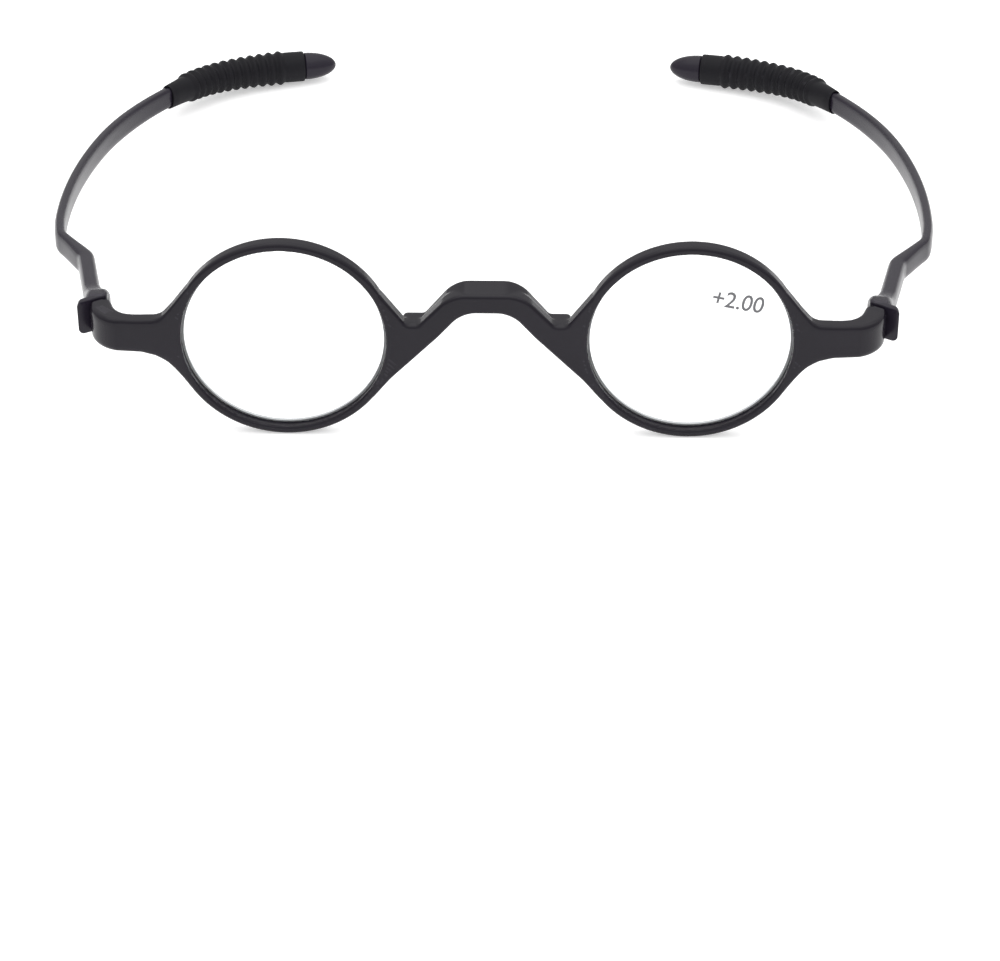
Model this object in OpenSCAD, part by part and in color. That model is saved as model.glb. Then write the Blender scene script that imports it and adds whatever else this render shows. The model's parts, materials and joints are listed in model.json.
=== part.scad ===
// Folding reading glasses: round rims, saddle bridge, bowed temples and ribbed rubber tips.
// Millimetres, +Z up, +Y from the lenses towards the wearer. The glasses stand open on z = 0,
// on the rims and the tips, and the origin is the middle of the ground that they cover.
// Right and left are the wearer's, so the right side is at -X.

/* [Front] */
// Distance between the lens centres
lens_spacing = 64; // [63:0.5:66]
// Diameter of the rim's clear opening
lens_opening = 32.3; // [31.5:0.1:33]
// Width of the rim, seen from the front
rim_width = 1.35; // [1.2:0.05:1.6]
// Thickness of the rims and endpieces
rim_depth = 2.7; // [2.5:0.1:3]
// Thickness of the bridge, which reaches back over the nose
bridge_depth = 4.7; // [4:0.1:5.5]
// Height of the endpiece at the hinge
end_height = 6; // [5.6:0.1:6.4]

/* [Lens] */
// Thickness of the lens at its edge
lens_edge = 1.2; // [1:0.1:1.5]
// Radius of the lens's front surface
lens_front_r = 88; // [85:1:100]
// Radius of the lens's rear surface
lens_rear_r = 136; // [110:1:160]

/* [Hinge] */
// Radius of the steel knuckles
knuckle_r = 1; // [0.9:0.05:1.05]
// Radius of the screw's shank
screw_r = 0.55; // [0.45:0.05:0.6]
// Radial clearance of the knuckle that turns on the screw
pin_gap = 0.05; // [0.02:0.01:0.08]
// Gap between the temple's foot and the endpiece when open
stop_gap = 0.12; // [0.1:0.02:0.2]

/* [Temple] */
// Downward slope of the temples, in degrees
temple_slope = 7.1; // [6.8:0.05:7.4]
// Width of the temple's arm behind its foot
arm_width = 2.8; // [2.6:0.1:3]
// Width of the temple's thin bow
bow_width = 1.85; // [1.7:0.05:2]
// Height of the temple's arm and bow
bow_height = 3.9; // [3.5:0.1:4.1]
// Radius of the bare end of the temple
tip_r = 2.5; // [2.3:0.1:2.6]

/* [Rubber sleeve] */
// Number of ribs
rib_count = 12; // [10:1:13]
// Distance from rib to rib
rib_pitch = 1.8; // [1.7:0.05:1.85]
// Radius over the largest ribs
rib_r = 3.25; // [3.15:0.05:3.35]
// Depth of the groove between two ribs
rib_depth = 0.4; // [0.3:0.05:0.45]

/* [Hidden] */
$fn = 96;

frame_colour = "#26262b";
temple_colour = "#3b3a40";
rubber_colour = "#18181b";
steel_colour = "silver";
lens_colour = [0.88, 0.93, 0.95, 0.35];

EPS = 0.01;
FAR = 60;

// Rims: round, standing on the ground
rim_x = lens_spacing / 2;
open_r = lens_opening / 2;
rim_r = open_r + rim_width;
rim_z = rim_r;
rim_round = 0.5;

// Lens: a meniscus whose bevelled edge sits in a groove of the rim
lens_y = 1.55;
groove_depth = 0.6;
groove_width = 0.7;
lens_gap = 0.03;
bevel_y = lens_y + (lens_edge - groove_width) / 2;

// Bridge: top and underside at the middle of the front
bridge_top = rim_z + 8.45;
bridge_low = rim_z + 5.2;
notch_z = rim_z + 2.9;

// Endpiece: front view heights, and the wrap to the hinge in plan
hinge_z = rim_z + 0.7;
end_top = rim_z + 3.4;
end_low = rim_z - 2.4;
side_x = rim_x + 31;

// Seam between endpiece and temple foot: from its inner end, outwards and forwards. The foot keeps
// the endpiece's height as far back as foot_back
seam_in = [rim_x + 28.1, 7.6];
seam_angle = -31;
seam_len = 3.4;
foot_len = 5.6;
foot_back = 8.3;
pin_inset = 0.8;
relief_ahead = 0.65;
relief_reach = 3;
seam_dir = [cos(seam_angle), sin(seam_angle)];
pin = seam_in + pin_inset * seam_dir;

// Hinge: heights counted from its middle
eye_half = 0.75;
leaf_low = 0.8;
leaf_high = 1.5;
pocket_half = 1.6;
pocket_r = knuckle_r + 0.15;
root_width = 1.5;
root_len = 3.2;
screw_head_r = 0.95;
screw_head_h = 0.6;

// Temple's centre line, in its own sloping plane: each stretch is [length, turn in degrees],
// where a positive turn goes outwards
slope_y = 6;
path_start = [rim_x + 31, 4.05, 11.5];
STRETCHES = [[17.9, 0], [1.9, 19.7], [8.4, 0], [2.2, -20], [6.8, -7.6],
    [35, -13.9], [34, -23], [10, -26], [16.5, -21.5], [4.4, 0]];
path_len = sum_lengths(len(STRETCHES));
bend_s = 26;

// Sleeve: tapered collar, ribs, smooth end, and the bare tip beyond it
collar_len = 5.4;
smooth_len = 3.9;
bare_len = 6.2;
rib_growth = 0.5;
sleeve_end = path_len - bare_len;
ribs_end = sleeve_end - smooth_len;
ribs_start = ribs_end - rib_count * rib_pitch;
sleeve_start = ribs_start - collar_len;
collar_r = 2.05;
smooth_r = rib_r - 0.4;
core_width = 1.5;
core_height = 2.6;
core_gap = 0.05;
sleeve_sides = 20;
rings_per_rib = 4;

function sum_lengths(n) = n == 0 ? 0 : STRETCHES[n - 1][0] + sum_lengths(n - 1);

// One step of [length, turn] along an arc from the pose [x, y, heading]
function advance(p, step) =
    let(half = step[1] / 2,
        chord = abs(half) < 0.001 ? step[0] : step[0] * sin(half) / (half * PI / 180),
        d = p[2] + half)
    [p[0] + chord * sin(d), p[1] + chord * cos(d), p[2] + step[1]];

// Pose at distance s along the centre line
function pose(s, i = 0, p = path_start) =
    s <= STRETCHES[i][0] || i == len(STRETCHES) - 1
    ? advance(p, [s, STRETCHES[i][1] * s / STRETCHES[i][0]])
    : pose(s - STRETCHES[i][0], i + 1, advance(p, STRETCHES[i]));

// Point of the sloping plane, at [x, y] and height h over it, with its height counted from the plane's
// own height at slope_y
function on_slope(x, y, h = 0) =
    [x, slope_y + y * cos(temple_slope) + h * sin(temple_slope),
        -y * sin(temple_slope) + h * cos(temple_slope)];

// Point of the temple's side wall, in plan: side 1 is outwards, -1 inwards
function wall(s, width, side) =
    let(p = pose(s),
        q = on_slope(p[0] + side * width / 2 * cos(p[2]), p[1] - side * width / 2 * sin(p[2])))
    [q[0], q[1]];

function bow_width_at(s) = lookup(s, [[0, arm_width], [bend_s - 8, arm_width], [bend_s, bow_width]]);

// Radius of the sleeve: the collar tapers, and the ribs are raised cosines
function sleeve_r(s) =
    s < ribs_start ? collar_r + (rib_r - rib_depth - rib_growth - collar_r) * (s - sleeve_start) / collar_len
    : s < ribs_end ? rib_r - rib_growth * (ribs_end - s) / (ribs_end - ribs_start)
        - rib_depth * (1 + cos(360 * (s - ribs_start) / rib_pitch)) / 2
    : smooth_r;

SLEEVE_S = concat(
    [sleeve_start, sleeve_start + collar_len / 2],
    [for (i = [0:rib_count * rings_per_rib]) ribs_start + i * rib_pitch / rings_per_rib],
    [ribs_end + 0.4, ribs_end + smooth_len / 2, sleeve_end]);

// Ring of the sleeve at s, with heights counted as in on_slope
function sleeve_ring(s, r) =
    let(p = pose(s))
    [for (k = [0:sleeve_sides - 1])
        let(a = 360 * k / sleeve_sides)
        on_slope(p[0] + r * cos(a) * cos(p[2]), p[1] - r * cos(a) * sin(p[2]), r * sin(a))];

SLEEVE_RINGS = [for (s = SLEEVE_S) sleeve_ring(s, sleeve_r(s))];
SLEEVE_POINTS = [for (ring = SLEEVE_RINGS) for (p = ring) p];

// The temples hang at the height that sets the sleeves on the ground
slope_z = -min([for (p = SLEEVE_POINTS) p[2]]);
total_depth = max(max([for (p = SLEEVE_POINTS) p[1]]), tip_reach());

// Furthest point of the bare tip, from its sloping axis
function tip_reach() =
    let(p = pose(sleeve_end + 1))
    slope_y + p[1] * cos(temple_slope) + tip_r * sqrt(1 - pow(cos(p[2]) * cos(temple_slope), 2));

// Outline with rounded corners, from corners of [x, y, radius]
function rounded(c) = [for (i = [0:len(c) - 1]) for (q = corner(c, i)) q];
function corner(c, i) =
    let(n = len(c),
        b = [c[i][0], c[i][1]],
        a = [c[(i + n - 1) % n][0], c[(i + n - 1) % n][1]],
        d = [c[(i + 1) % n][0], c[(i + 1) % n][1]],
        u = (a - b) / norm(a - b),
        v = (d - b) / norm(d - b),
        r = len(c[i]) > 2 ? c[i][2] : 0,
        half = acos(max(-1, min(1, u * v))) / 2)
    r == 0 ? [b]
    : let(m = (u + v) / norm(u + v),
        o = b + m * r / sin(half),
        a0 = atan2((b + u * r / tan(half) - o)[1], (b + u * r / tan(half) - o)[0]),
        a1 = atan2((b + v * r / tan(half) - o)[1], (b + v * r / tan(half) - o)[0]),
        swing = a1 - a0 > 180 ? a1 - a0 - 360 : a1 - a0 < -180 ? a1 - a0 + 360 : a1 - a0,
        steps = max(3, ceil(abs(swing) / 10)))
    [for (k = [0:steps]) o + r * [cos(a0 + swing * k / steps), sin(a0 + swing * k / steps)]];

// Front view outline made solid, from the front face back to the given depth
module from_front(depth) {
    translate([0, depth, 0]) rotate([90, 0, 0]) linear_extrude(depth) children();
}

// Side view outline, in y and z, made solid across the left half
module from_side() {
    rotate([90, 0, 90]) linear_extrude(2 * FAR) children();
}

// Left side's shape, in its own place for side 1, or mirrored to the right for side -1
module on_side(side) {
    translate([0, -total_depth / 2, 0])
        if (side > 0) children();
        else mirror([1, 0, 0]) children();
}

// Shape turned about the middle of one rim, for an axis from front to back
module about_lens() {
    translate([rim_x, 0, rim_z]) rotate([-90, 0, 0]) children();
}

module rim() {
    about_lens() rotate_extrude() polygon(rounded([
        [open_r, 0, 0.25], [rim_r, 0, rim_round],
        [rim_r, rim_depth, rim_round], [open_r, rim_depth, 0.25]]));
}

module lens_seat() {
    about_lens() {
        translate([0, 0, -1]) cylinder(r = open_r, h = bridge_depth + 2);
        translate([0, 0, bevel_y]) cylinder(r = open_r + groove_depth, h = groove_width);
    }
}

// Half of the bridge, seen from the front, with the web that runs into the rim
module bridge_outline() {
    polygon(rounded([
        [0, bridge_low], [3.8, bridge_low, 4.5], [rim_x - 24.4, rim_z + 0.8, 8],
        [rim_x - 16.8, rim_z - 7, 8], [rim_x - 13.8, rim_z - 10.8], [rim_x - 12, rim_z],
        [rim_x - 15.35, rim_z + 8.4], [rim_x - 19.4, notch_z, 1.3], [rim_x - 21.3, notch_z, 1.3],
        [5.6, bridge_top, 5], [0, bridge_top]]));
}

module bridge() {
    from_front(rim_depth) bridge_outline();
    from_front(bridge_depth) intersection() {
        bridge_outline();
        square([rim_x - 18.6, 2 * rim_z]);
    }
}

module endpiece() {
    difference() {
        intersection() {
            linear_extrude(2 * rim_z) polygon(rounded([
                [rim_x + 13, 0], [side_x, 0, 5.8], seam_in + seam_len * seam_dir, seam_in,
                [rim_x + 27.4, 6.5, 0.8], [rim_x + 26.4, rim_depth, 2.6], [rim_x + 13, rim_depth]]));
            from_front(FAR) polygon(rounded([
                [rim_x + 14, rim_z - 4], [rim_x + 15.6, rim_z - 7.8], [rim_x + 18.3, end_low, 5],
                [rim_x + 24, end_low], [side_x + 1, hinge_z - end_height / 2],
                [side_x + 1, hinge_z + end_height / 2], [rim_x + 24, end_top],
                [rim_x + 19.3, end_top, 1], [rim_x + 14.7, rim_z + 9.5], [rim_x + 13, rim_z + 9]]));
        }
        fold_relief();
        knuckle_pocket();
        fork_block(0);
    }
}

// Room at the inner end of the seam for the temple's foot as it folds in
module fold_relief() {
    translate([pin[0], pin[1], 0]) {
        cylinder(r = pin_inset - 0.1, h = 2 * rim_z);
        translate([-relief_reach, -relief_ahead, 0])
            cube([relief_reach - 0.25, relief_reach, 2 * rim_z]);
    }
}

// Room round the knuckles, open below for the screw
module knuckle_pocket() {
    translate([pin[0], pin[1], 0]) cylinder(r = pocket_r, h = hinge_z + pocket_half);
}

// Root of the fork in the endpiece, from the given distance off the pin
module fork_block(from) {
    translate([pin[0] - root_width / 2, pin[1] - root_len, hinge_z - leaf_high])
        cube([root_width, root_len - from, 2 * leaf_high]);
}

// Root of the eye in the temple's foot, likewise
module eye_block(from) {
    translate([pin[0], pin[1], hinge_z - eye_half]) rotate(seam_angle)
        translate([-root_width / 2, from, 0]) cube([root_width, root_len - from, 2 * eye_half]);
}

module front_half() {
    difference() {
        union() {
            rim();
            bridge();
            endpiece();
        }
        lens_seat();
    }
}

module front_frame() {
    color(frame_colour) {
        on_side(1) front_half();
        on_side(-1) front_half();
    }
}

// Depth of a surface of radius r at distance d from its axis
function sag(r, d) = r - sqrt(r * r - d * d);

module lens(side) {
    edge_r = open_r - lens_gap;
    bevel_r = open_r + groove_depth - lens_gap;
    crown = sag(lens_front_r, edge_r);
    hollow = sag(lens_rear_r, edge_r);
    steps = 12;
    color(lens_colour) on_side(side) about_lens() rotate_extrude() polygon(concat(
        [for (i = [0:steps]) [edge_r * i / steps, lens_y - crown + sag(lens_front_r, edge_r * i / steps)]],
        [[edge_r, bevel_y + lens_gap], [bevel_r, bevel_y + groove_width / 2 - 0.1],
            [bevel_r, bevel_y + groove_width / 2 + 0.1], [edge_r, bevel_y + groove_width - lens_gap]],
        [for (i = [steps:-1:0]) [edge_r * i / steps,
            lens_y + lens_edge - hollow + sag(lens_rear_r, edge_r * i / steps)]]));
}

// Point of the foot in plan: along the seam from its inner end, and behind it
function foot(along, back) = seam_in + along * seam_dir + back * [-seam_dir[1], seam_dir[0]];

// Distances along the centre line at which the outline of the bow has its points
BOW_S = concat([for (s = [12:2:24]) s], [for (s = [26:4:96]) s], [sleeve_start - 0.5]);

module temple_plan() {
    polygon(rounded([foot(0.3, stop_gap), foot(foot_len, stop_gap), foot(foot_len - 0.65, 1.25),
        foot(3.9, 1.5), wall(4, arm_width, 1), wall(12, arm_width, 1), wall(12, arm_width, -1),
        [rim_x + 30.9, 16.4, 8], [rim_x + 28.3, 11.2, 3], [rim_x + 28.3, 8.2]]));
    polygon(concat(
        [for (s = BOW_S) wall(s, bow_width_at(s), 1)],
        [for (i = [len(BOW_S) - 1:-1:0]) wall(BOW_S[i], bow_width_at(BOW_S[i]), -1)]));
}

CORE_S = [for (i = [0:12]) sleeve_start - 1 + i * (sleeve_end + 1.5 - sleeve_start) / 12];

// Flat core that carries the sleeve
module core(gap) {
    translate([0, 0, slope_z]) intersection() {
        translate([0, 0, -FAR]) linear_extrude(2 * FAR) polygon(concat(
            [for (s = CORE_S) wall(s, core_width + 2 * gap, 1)],
            [for (i = [len(CORE_S) - 1:-1:0]) wall(CORE_S[i], core_width + 2 * gap, -1)]));
        slope_slab(core_height / 2 + gap, 0);
    }
}

// Layer that follows the sloping plane, from the given distance behind slope_y
module slope_slab(half, from) {
    translate([0, slope_y, 0]) rotate([-temple_slope, 0, 0])
        translate([0, from, -half]) cube([2 * FAR, 3 * FAR, 2 * half]);
}

// Side view of the foot: tall at the seam, down to the arm's height behind it
module foot_side() {
    arm_y = 9;
    arm_z = slope_z - arm_y * tan(temple_slope);
    polygon([[0, hinge_z - end_height / 2], [0, hinge_z + end_height / 2],
        [foot_back, hinge_z + end_height / 2], [slope_y + arm_y, arm_z + bow_height / 2],
        [FAR / 2, slope_z - (FAR / 2 - slope_y) * tan(temple_slope) + bow_height / 2],
        [FAR / 2, slope_z - (FAR / 2 - slope_y) * tan(temple_slope) - bow_height / 2],
        [slope_y + arm_y, arm_z - bow_height / 2], [foot_back, hinge_z - end_height / 2]]);
}

// Bare rounded end of the temple, which keeps the sleeve on
module bare_tip() {
    p = pose(sleeve_end + core_gap);
    long = bare_len - core_gap;
    steps = 9;
    translate([0, 0, slope_z]) translate(on_slope(p[0], p[1])) rotate([-temple_slope, 0, 0])
        rotate(-p[2]) rotate([-90, 0, 0]) rotate_extrude() polygon(concat([[0, 0], [tip_r - 0.15, 0]],
            [for (i = [0:steps]) [tip_r * cos(90 * i / steps), 0.3 + (long - 0.3) * sin(90 * i / steps)]]));
}

module temple(side) {
    color(temple_colour) on_side(side) {
        difference() {
            intersection() {
                linear_extrude(2 * rim_z) temple_plan();
                union() {
                    from_side() foot_side();
                    translate([0, 0, slope_z]) slope_slab(bow_height / 2, 14);
                }
            }
            knuckle_pocket();
            eye_block(0);
        }
        core(0);
        bare_tip();
    }
}

module tip_sleeve(side) {
    n = sleeve_sides;
    last = len(SLEEVE_S) - 1;
    color(rubber_colour) on_side(side) difference() {
        translate([0, 0, slope_z]) polyhedron(points = SLEEVE_POINTS, faces = concat(
            [[for (k = [0:n - 1]) k]],
            [for (i = [0:last - 1]) for (k = [0:n - 1])
                [i * n + (k + 1) % n, i * n + k, (i + 1) * n + k, (i + 1) * n + (k + 1) % n]],
            [[for (k = [n - 1:-1:0]) last * n + k]]));
        core(core_gap);
    }
}

// Knuckle standing between two heights, bored for the screw
module knuckle(low, high, bore_r) {
    translate([pin[0], pin[1], hinge_z + low]) difference() {
        cylinder(r = knuckle_r, h = high - low);
        translate([0, 0, -1]) cylinder(r = bore_r, h = high - low + 2);
    }
}

// Flat shank from a knuckle to its root, turned to the given direction in plan
module shank(low, high, angle) {
    translate([pin[0], pin[1], hinge_z + low]) rotate(angle) difference() {
        translate([-root_width / 2, 0, 0]) cube([root_width, pocket_r + EPS, high - low]);
        translate([0, 0, -1]) cylinder(r = knuckle_r - 0.1, h = high - low + 2);
    }
}

module hinge_fork(side) {
    color(steel_colour) on_side(side) {
        fork_block(pocket_r);
        for (low = [-leaf_high, leaf_low]) {
            knuckle(low, low + leaf_high - leaf_low, screw_r + 0.02);
            shank(low, low + leaf_high - leaf_low, 180);
        }
    }
}

module hinge_eye(side) {
    color(steel_colour) on_side(side) {
        eye_block(pocket_r);
        knuckle(-eye_half, eye_half, screw_r + pin_gap);
        shank(-eye_half, eye_half, seam_angle);
    }
}

module hinge_screw(side) {
    color(steel_colour) on_side(side) translate([pin[0], pin[1], hinge_z]) difference() {
        union() {
            translate([0, 0, -leaf_high - 0.1]) cylinder(r = screw_r, h = 2 * leaf_high + 0.1);
            translate([0, 0, -leaf_high - screw_head_h]) cylinder(r = screw_head_r, h = screw_head_h);
        }
        translate([-2, -0.15, -leaf_high - screw_head_h - 1]) cube([4, 0.3, 1.25]);
    }
}

front_frame();
lens(-1);  // lens_right
lens(1);  // lens_left
temple(-1);  // temple_right
temple(1);  // temple_left
tip_sleeve(-1);  // tip_sleeve_right
tip_sleeve(1);  // tip_sleeve_left
hinge_fork(-1);  // hinge_fork_right
hinge_fork(1);  // hinge_fork_left
hinge_eye(-1);  // hinge_eye_right
hinge_eye(1);  // hinge_eye_left
hinge_screw(-1);  // hinge_screw_right
hinge_screw(1);  // hinge_screw_left
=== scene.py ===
# %% [markdown]
# # Folding reading glasses
#
# A pair of small round reading glasses, moulded in black nylon. The front is one moulding: two
# round rims, an arched bridge and two endpieces that wrap back to the hinges. Each temple is one
# moulding too, with a thin bow and a bullet tip, and a ribbed rubber sleeve grips the ear.
#
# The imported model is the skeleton: it says which pieces turn on which hinge and how big all is.
# The front, lenses, temples and sleeves are made again here with rounder edges and a finish, each
# in the same place. The steel of the hinges is kept, and only gets its finish.

import json
import math

import bmesh
import bpy
from mathutils import Matrix, Vector


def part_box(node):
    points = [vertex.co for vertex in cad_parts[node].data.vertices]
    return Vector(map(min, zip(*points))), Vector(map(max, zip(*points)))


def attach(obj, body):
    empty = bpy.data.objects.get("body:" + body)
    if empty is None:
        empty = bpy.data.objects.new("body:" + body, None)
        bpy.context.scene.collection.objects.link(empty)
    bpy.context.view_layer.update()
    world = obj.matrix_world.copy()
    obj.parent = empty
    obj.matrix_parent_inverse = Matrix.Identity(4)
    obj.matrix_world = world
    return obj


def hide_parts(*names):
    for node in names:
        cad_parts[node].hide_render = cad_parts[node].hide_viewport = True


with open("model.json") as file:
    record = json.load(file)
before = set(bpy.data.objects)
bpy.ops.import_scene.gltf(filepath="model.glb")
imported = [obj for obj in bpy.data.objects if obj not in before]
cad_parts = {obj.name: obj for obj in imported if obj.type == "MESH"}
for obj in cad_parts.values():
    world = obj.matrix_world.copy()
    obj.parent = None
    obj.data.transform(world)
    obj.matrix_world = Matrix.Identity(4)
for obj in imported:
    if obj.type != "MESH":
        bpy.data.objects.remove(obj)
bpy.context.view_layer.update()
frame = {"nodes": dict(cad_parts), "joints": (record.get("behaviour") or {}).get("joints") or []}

# %% [markdown]
# ## A bench in millimetres
#
# Frame-makers work in millimetres, and bevels and cuts behave best on shapes about one to a
# hundred units long. So every shape is modelled in millimetres, with the front face of the rims
# at y = 0 and the ground at z = 0, and only the finished piece is scaled to metres and put in
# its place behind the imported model's front face.

# %% Bench values
MM = 0.001
FRONT_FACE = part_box("front_frame")[0].y
TO_ROW = Matrix.Translation((0, FRONT_FACE, 0)) @ Matrix.Scale(MM, 4)

lens_low, lens_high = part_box("lens_left")
lens_x = (lens_low.x + lens_high.x) / 2 / MM
lens_z = (lens_low.z + lens_high.z) / 2 / MM
lens_r = (lens_high.x - lens_low.x) / 2 / MM
LENS_OVERLAP = 0.57
opening_r = lens_r - LENS_OVERLAP
rim_r = lens_z
rim_depth = 2.7
print(f"lens centre {lens_x:.2f}, {lens_z:.2f}, opening {2 * opening_r:.2f}, rim {2 * rim_r:.2f} mm")

hinge = {j["child"]: Vector(j["pos_m"]) for j in frame["joints"]}
pin = (hinge["temple_left"] - Vector((0, FRONT_FACE, 0))) / MM
print("left hinge pin:", [round(v, 3) for v in pin])

# %% [markdown]
# ### Helpers of the bench
#
# The helpers do three jobs. Some turn an outline with rounded corners into a solid, with a vertex
# bevel for each corner. Some draw a closed loop of edges from place to place, as a die pulls a
# bar, and leave a skin of quads behind. The last send a shape through modifiers, which is how
# shapes are cut and fused.


# %% Outline with rounded corners
def outline(corners, place):
    """A face through corners of (u, v, radius), where place turns u and v into a point."""
    bm = bmesh.new()
    verts = [bm.verts.new(place(u, v)) for u, v, _ in corners]
    bm.faces.new(verts)
    for i, vert in enumerate(verts):
        radius = corners[i][2]
        if radius:
            before = (Vector(place(*corners[i - 1][:2])) - vert.co).normalized()
            after = (Vector(place(*corners[(i + 1) % len(corners)][:2])) - vert.co).normalized()
            half = before.angle(after) / 2
            turn = math.pi - 2 * half
            bmesh.ops.bevel(bm, geom=[vert], offset=radius / math.tan(half), offset_type="OFFSET",
                            affect="VERTICES", segments=max(3, math.ceil(turn / math.radians(9))),
                            profile=0.5, material=-1)
    return bm


def extrude(bm, vector):
    """Makes the flat faces of a shape into a solid."""
    out = bmesh.ops.extrude_face_region(bm, geom=bm.faces[:])
    moved = [g for g in out["geom"] if isinstance(g, bmesh.types.BMVert)]
    bmesh.ops.translate(bm, vec=vector, verts=moved)
    bmesh.ops.recalc_face_normals(bm, faces=bm.faces)


def soften(bm, offset):
    """Bevels every edge that turns by more than 30 degrees."""
    sharp = [e for e in bm.edges if len(e.link_faces) == 2
             and e.calc_face_angle(0) > math.radians(30)]
    bmesh.ops.bevel(bm, geom=sharp, offset=offset, offset_type="OFFSET", affect="EDGES",
                    segments=3, profile=0.5, material=-1, clamp_overlap=True)


# %% Loop drawn from place to place
def draw_along(bm, edges, places):
    """Extrudes a loop of edges through the places, each a matrix, and returns the last loop."""
    for before, after in zip(places, places[1:]):
        out = bmesh.ops.extrude_edge_only(bm, edges=edges)
        verts = [g for g in out["geom"] if isinstance(g, bmesh.types.BMVert)]
        edges = [g for g in out["geom"] if isinstance(g, bmesh.types.BMEdge) and g.is_boundary]
        bmesh.ops.transform(bm, matrix=after @ before.inverted(), verts=verts)
    return edges


def swept(sides, places, corner=None):
    """A closed solid: a ring of sides, 1 wide and 1 high, drawn through the places.

    With a corner, the ring is a square instead, with corners rounded by so much in sides steps.
    """
    bm = bmesh.new()
    if corner is None:
        bmesh.ops.create_circle(bm, segments=sides, radius=0.5)
    else:
        bmesh.ops.create_grid(bm, x_segments=1, y_segments=1, size=0.5)
        bmesh.ops.bevel(bm, geom=bm.verts[:], offset=corner, offset_type="OFFSET",
                        affect="VERTICES", segments=sides, profile=0.5, material=-1)
        bmesh.ops.delete(bm, geom=bm.faces[:], context="FACES_ONLY")
    bmesh.ops.rotate(bm, verts=bm.verts, matrix=Matrix.Rotation(math.pi / 2, 3, "X"))
    bmesh.ops.transform(bm, matrix=places[0], verts=bm.verts)
    first = bm.edges[:]
    last = draw_along(bm, first, places)
    bmesh.ops.edgeloop_fill(bm, edges=first)
    bmesh.ops.edgeloop_fill(bm, edges=last)
    bmesh.ops.recalc_face_normals(bm, faces=bm.faces)
    return bm


def place_at(centre, across, up):
    """Matrix that puts a unit section at centre, with its width along across and height along up."""
    along = -across.cross(up).normalized()
    return Matrix.Translation(centre) @ Matrix((across, along, up)).transposed().to_4x4()


# %% Shapes sent through modifiers
def bench_object(bm):
    mesh = bpy.data.meshes.new("bench")
    bm.to_mesh(mesh)
    obj = bpy.data.objects.new("bench", mesh)
    bpy.context.scene.collection.objects.link(obj)
    return obj


def modified(bm, steps):
    """Runs modifiers, given as (type, settings), on a shape and returns the result."""
    obj = bench_object(bm)
    bm.free()
    for kind, settings in steps:
        modifier = obj.modifiers.new(kind, kind)
        for key, value in settings.items():
            setattr(modifier, key, value)
    bpy.context.view_layer.update()
    result = bmesh.new()
    result.from_object(obj, bpy.context.evaluated_depsgraph_get())
    mesh = obj.data
    bpy.data.objects.remove(obj)
    bpy.data.meshes.remove(mesh)
    return result


def combined(bm, other, operation):
    """Boolean of two solids. Both are used up."""
    tool = bench_object(other)
    other.free()
    result = modified(bm, [("BOOLEAN", dict(object=tool, operation=operation, solver="MANIFOLD"))])
    mesh = tool.data
    bpy.data.objects.remove(tool)
    bpy.data.meshes.remove(mesh)
    return result


def joined(shapes):
    """One shape from several, as they are."""
    whole = bmesh.new()
    for bm in shapes:
        mesh = bpy.data.meshes.new("part")
        bm.to_mesh(mesh)
        bm.free()
        whole.from_mesh(mesh)
        bpy.data.meshes.remove(mesh)
    return whole


def mirrored(bm):
    """The same shape on the wearer's right."""
    other = bm.copy()
    bmesh.ops.transform(other, matrix=Matrix.Scale(-1, 4, (1, 0, 0)), verts=other.verts)
    bmesh.ops.reverse_faces(other, faces=other.faces)
    return other


# %% Finished piece
def finish_piece(bm, name, body, node, material, smooth_angle=40):
    """Puts a shape in its place as an object that rides on a body and stands for a CAD node."""
    bmesh.ops.transform(bm, matrix=TO_ROW, verts=bm.verts)
    mesh = bpy.data.meshes.new(name)
    bm.to_mesh(mesh)
    bm.free()
    mesh.shade_smooth()
    mesh.set_sharp_from_angle(angle=math.radians(smooth_angle))
    for each in material if isinstance(material, list) else [material]:
        mesh.materials.append(each)
    obj = bpy.data.objects.new(name, mesh)
    bpy.context.scene.collection.objects.link(obj)
    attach(obj, body)
    if node:
        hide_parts(node)
    mesh.calc_loop_triangles()
    print(f"{name}: {len(mesh.loop_triangles)} triangles")
    return obj


# %% [markdown]
# ## Surface effects
#
# Moulded nylon is never perfectly even. The tool leaves a very fine grain, handling polishes the
# edges and leaves faint rubs, and dust settles on what faces up. Each effect is a node group, so
# that every material can take it in its own strength. The groups put out only values that vary
# over the surface. The constant values stay on the shader's own sockets.


# %% Node group helper
def effect_group(name, inputs, outputs):
    tree = bpy.data.node_groups.new(name, "ShaderNodeTree")
    for label, value in inputs.items():
        kind = "NodeSocketColor" if isinstance(value, tuple) else "NodeSocketFloat"
        socket = tree.interface.new_socket(label, in_out="INPUT", socket_type=kind)
        socket.default_value = value
    for label, kind in outputs.items():
        tree.interface.new_socket(label, in_out="OUTPUT", socket_type=kind)
    return tree, tree.nodes.new("NodeGroupInput"), tree.nodes.new("NodeGroupOutput")


def math_node(tree, operation, first, second, clamp=False):
    node = tree.nodes.new("ShaderNodeMath")
    node.operation = operation
    node.use_clamp = clamp
    for socket, value in zip(node.inputs, (first, second)):
        if isinstance(value, (int, float)):
            socket.default_value = value
        else:
            tree.links.new(value, socket)
    return node.outputs[0]


def noise(tree, vector, scale, detail=2.0, roughness=0.5):
    node = tree.nodes.new("ShaderNodeTexNoise")
    node.inputs["Detail"].default_value = detail
    node.inputs["Roughness"].default_value = roughness
    tree.links.new(vector, node.inputs["Vector"])
    if isinstance(scale, (int, float)):
        node.inputs["Scale"].default_value = scale
    else:
        tree.links.new(scale, node.inputs["Scale"])
    return node.outputs["Fac"]


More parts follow.
